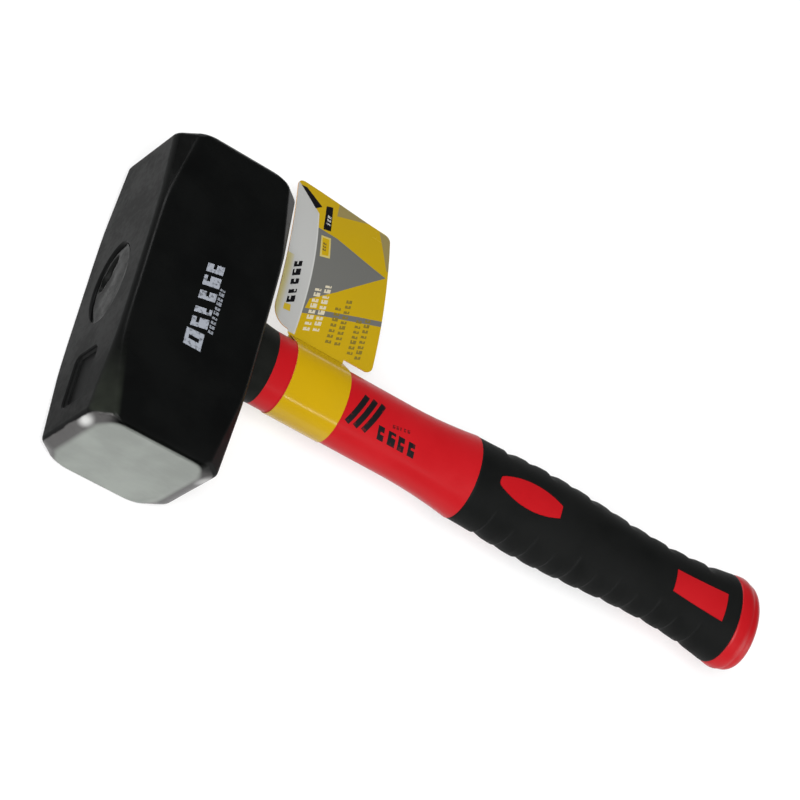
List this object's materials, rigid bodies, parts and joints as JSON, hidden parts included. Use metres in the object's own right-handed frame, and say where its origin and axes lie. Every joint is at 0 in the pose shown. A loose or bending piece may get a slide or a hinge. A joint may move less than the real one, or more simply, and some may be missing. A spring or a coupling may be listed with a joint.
{
  "type": "lump hammer",
  "caption": "Short-handled lump hammer with a square forged head, an oval fibreglass-cored handle, a soft grip and a flag label round its neck.",
  "frame": {"origin": "on the resting cheek of the head, below the middle of the eye", "axes": "+X along the handle from the eye to the butt, Y along the head with the marking pocket towards -Y, +Z out of the upper cheek"},
  "size_m": [0.265, 0.1304, 0.042],
  "materials": {
    "lacquered_steel": "black lacquer over forged steel, striking faces ground bare",
    "fibreglass": "pultruded, unpainted",
    "epoxy": "glossy cast resin",
    "red_plastic": "satin moulded",
    "black_plastic": "satin moulded",
    "grip_rubber": "fine matt texture",
    "label_film": "printed film"
  },
  "bodies": {
    "root": {"head": "lacquered_steel", "core_rod": "fibreglass", "eye_resin": "epoxy", "handle_jacket": "red_plastic", "neck_guard": "black_plastic", "grip_sleeve": "grip_rubber", "butt_cap": "red_plastic", "flag_label": "label_film"}
  },
  "joints": []
}
